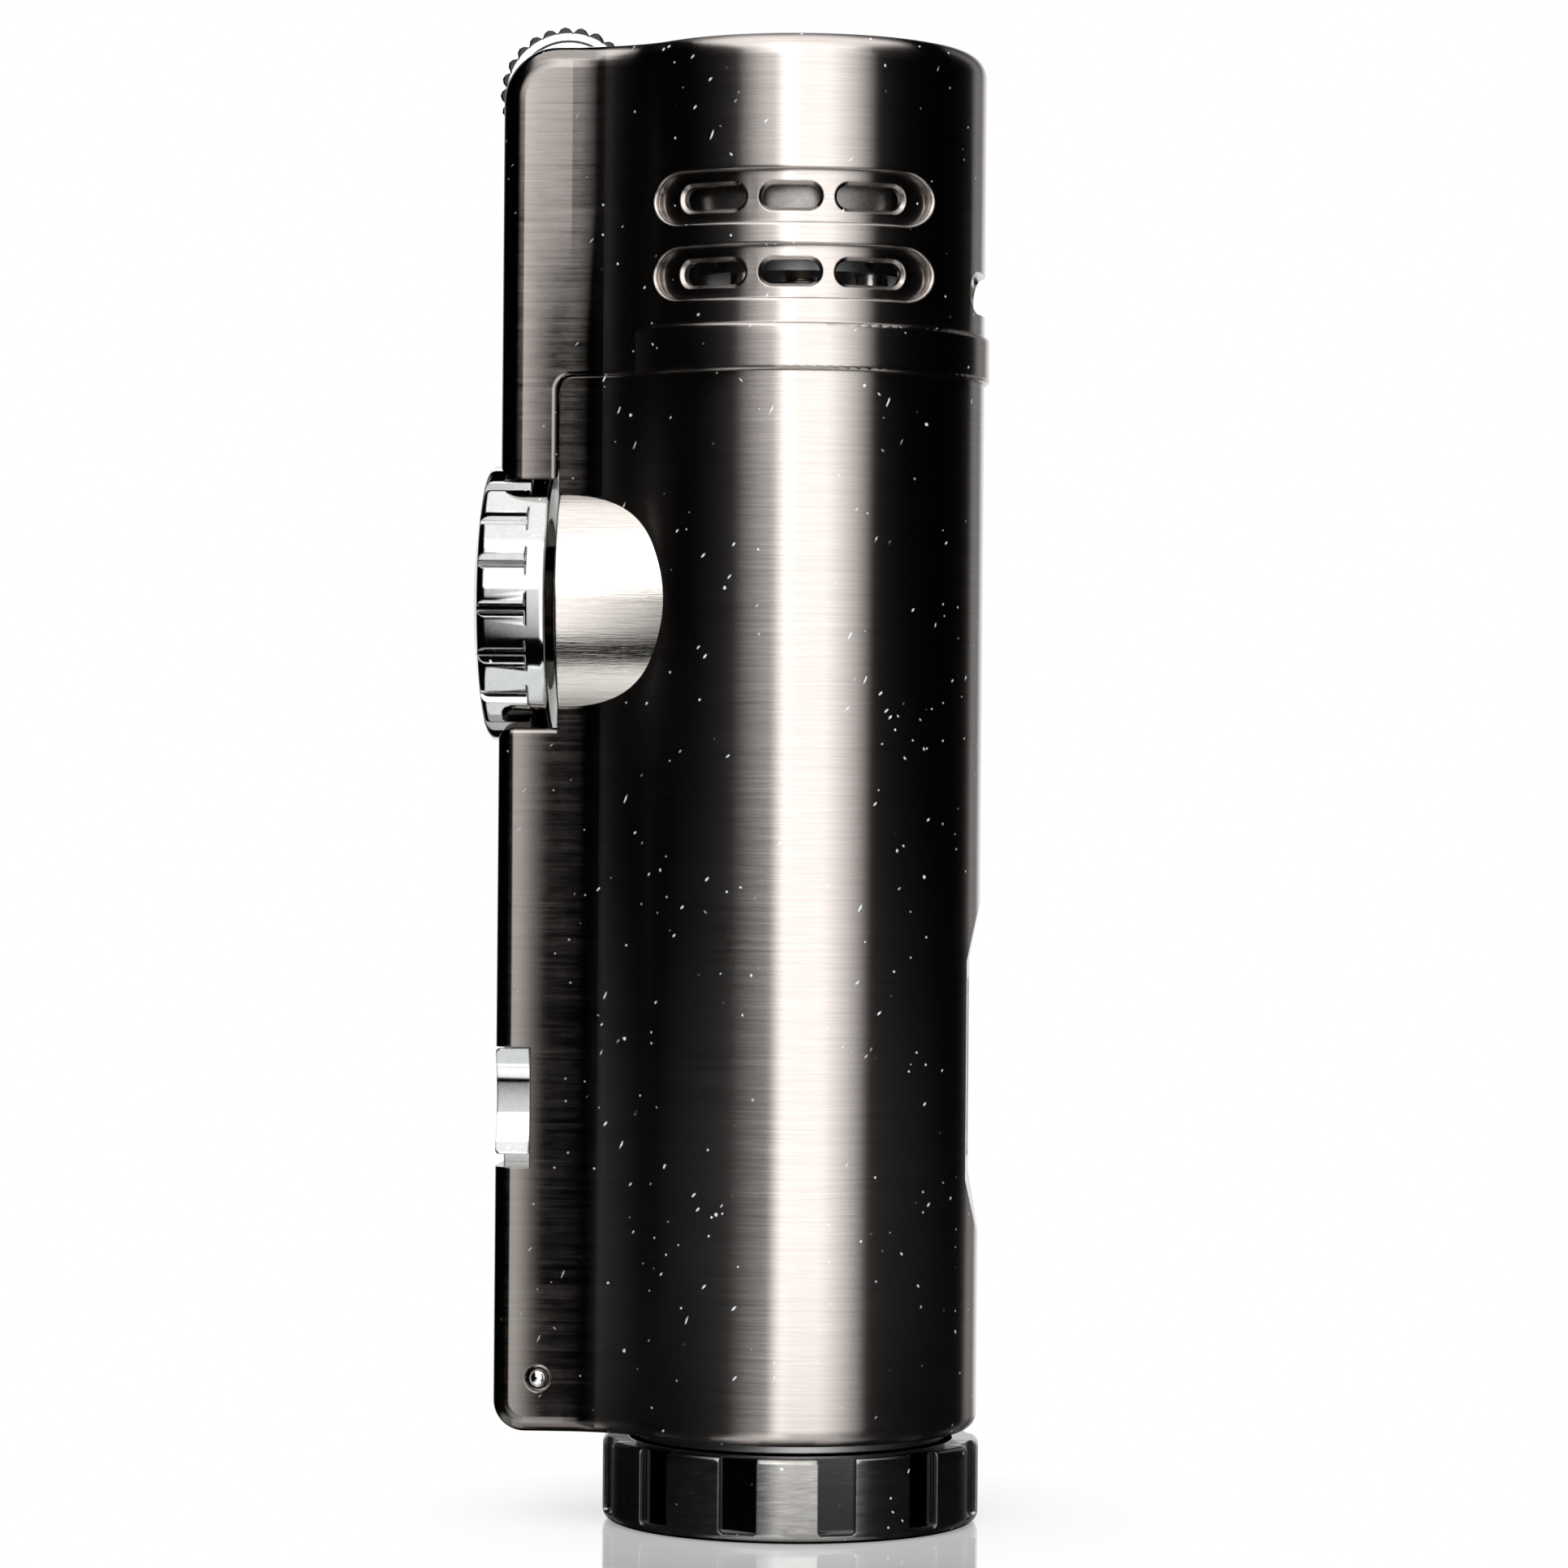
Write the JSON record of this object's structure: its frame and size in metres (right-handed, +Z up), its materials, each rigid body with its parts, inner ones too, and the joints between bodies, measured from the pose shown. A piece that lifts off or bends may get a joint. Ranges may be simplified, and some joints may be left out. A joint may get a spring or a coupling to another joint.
{
  "type": "flint wheel pocket jet lighter",
  "caption": "Pocket jet lighter: round gunmetal body with a flat spine, flint wheel and thumb trigger, vented hood, pull-out cigar punch, fold-out pick and a fluted flame adjuster as its foot.",
  "frame": {"origin": "centre of the base knob's underside, on the round body's axis, where the lighter stands", "axes": "+Z up along the round body, -X towards the spine with the flint wheel and side knob, -Y towards the front"},
  "size_m": [0.0315, 0.0234, 0.0914],
  "materials": {
    "brushed_gunmetal": "dark gunmetal plating, brushed",
    "black_nickel": "polished black nickel plating",
    "bright_chrome": "bright polished chrome",
    "satin_steel": "satin steel",
    "hardened_steel": "dark hardened steel",
    "brass": "turned brass",
    "zinc": "bare die-cast zinc",
    "tank_plastic": "smoky translucent moulded plastic",
    "window_lens": "smoky clear lens",
    "seal_rubber": "soft moulded rubber",
    "felt_pad": "pressed porous felt",
    "flint_alloy": "ferrocerium, matt"
  },
  "bodies": {
    "root": {"sleeve": "brushed_gunmetal", "hood": "brushed_gunmetal", "joint_ring": "zinc", "fuel_window": "window_lens", "fuel_tank": "tank_plastic", "tank_lid": "tank_plastic", "base_plate": "zinc", "base_screws": "satin_steel", "filler_valve": "brass", "filler_seal": "seal_rubber", "flow_pad": "felt_pad", "gas_tube": "brass", "chassis_plate": "zinc", "burner_posts": "satin_steel", "post_screws": "satin_steel", "valve_block": "brass", "valve_body": "brass", "rocker_stand": "zinc", "rocker_pin": "satin_steel", "burner_body": "zinc", "jet_nozzles": "brass", "flame_guard": "satin_steel", "wheel_bracket": "satin_steel", "bracket_screws": "satin_steel", "wheel_axle": "satin_steel", "flint_tube": "brass", "flint": "flint_alloy", "flint_spring": "satin_steel", "flint_screw": "brass", "trigger_pin": "satin_steel", "punch_socket": "brushed_gunmetal", "pick_pin": "bright_chrome", "pick_spring": "satin_steel", "valve_spring": "satin_steel"},
    "flint_wheel_body": {"flint_wheel": "hardened_steel", "thumb_wheels": "bright_chrome"},
    "trigger_body": {"trigger": "brushed_gunmetal", "trigger_spring": "satin_steel"},
    "rocker_body": {"valve_rocker": "satin_steel"},
    "stem_body": {"valve_stem": "brass"},
    "filler_body": {"filler_stem": "brass"},
    "adjuster_body": {"base_knob": "black_nickel", "knob_clip": "satin_steel", "adjuster_sleeve": "brass"},
    "lock_body": {"lock_sleeve": "brass"},
    "punch_body": {"side_knob": "black_nickel", "knob_cap": "black_nickel", "punch_collar": "brass", "punch_blade": "satin_steel"},
    "pick_body": {"pick": "black_nickel"}
  },
  "joints": [
    {"name": "wheel_spin", "type": "hinge", "parent": "root", "child": "flint_wheel_body", "pos_m": [-0.0141, 0, 0.0872], "axis": [0, 1, 0], "continuous": true},
    {"name": "trigger_press", "type": "hinge", "parent": "root", "child": "trigger_body", "pos_m": [-0.0165, 0, 0.0672], "axis": [0, 1, 0], "range_deg": [0, 5], "stiffness_Nm_per_rad": 0.35, "springref_deg": -2.86},
    {"name": "rocker_tilt", "type": "hinge", "parent": "root", "child": "rocker_body", "pos_m": [-0.005, 0, 0.072], "axis": [0, 1, 0], "range_deg": [-10, 0]},
    {"name": "stem_lift", "type": "slide", "parent": "root", "child": "stem_body", "axis": [0, 0, 1], "range_m": [0, 0.001], "deforming": ["valve_spring"]},
    {"name": "filler_press", "type": "slide", "parent": "root", "child": "filler_body", "axis": [0, 0, 1], "range_m": [0, 0.0012], "stiffness_N_per_m": 400, "springref_m": -0.0005},
    {"name": "flame_adjust", "type": "hinge", "parent": "root", "child": "adjuster_body", "pos_m": [0, 0, 0], "axis": [0, 0, 1], "range_deg": [-150, 150]},
    {"name": "punch_unlock", "type": "hinge", "parent": "root", "child": "lock_body", "pos_m": [-0.01415, 0, 0.0562], "axis": [1, 0, 0], "range_deg": [0, 90]},
    {"name": "punch_pull", "type": "slide", "parent": "lock_body", "child": "punch_body", "axis": [-1, 0, 0], "range_m": [0, 0.012]},
    {"name": "pick_open", "type": "hinge", "parent": "root", "child": "pick_body", "pos_m": [-0.0151, 0, 0.009], "axis": [0, 1, 0], "range_deg": [-180, 0]}
  ],
  "couplings": [
    {"joint": "trigger_press", "follows": "stem_lift", "rad_per_m": 87.25},
    {"joint": "rocker_tilt", "follows": "stem_lift", "rad_per_m": -174.5}
  ]
}
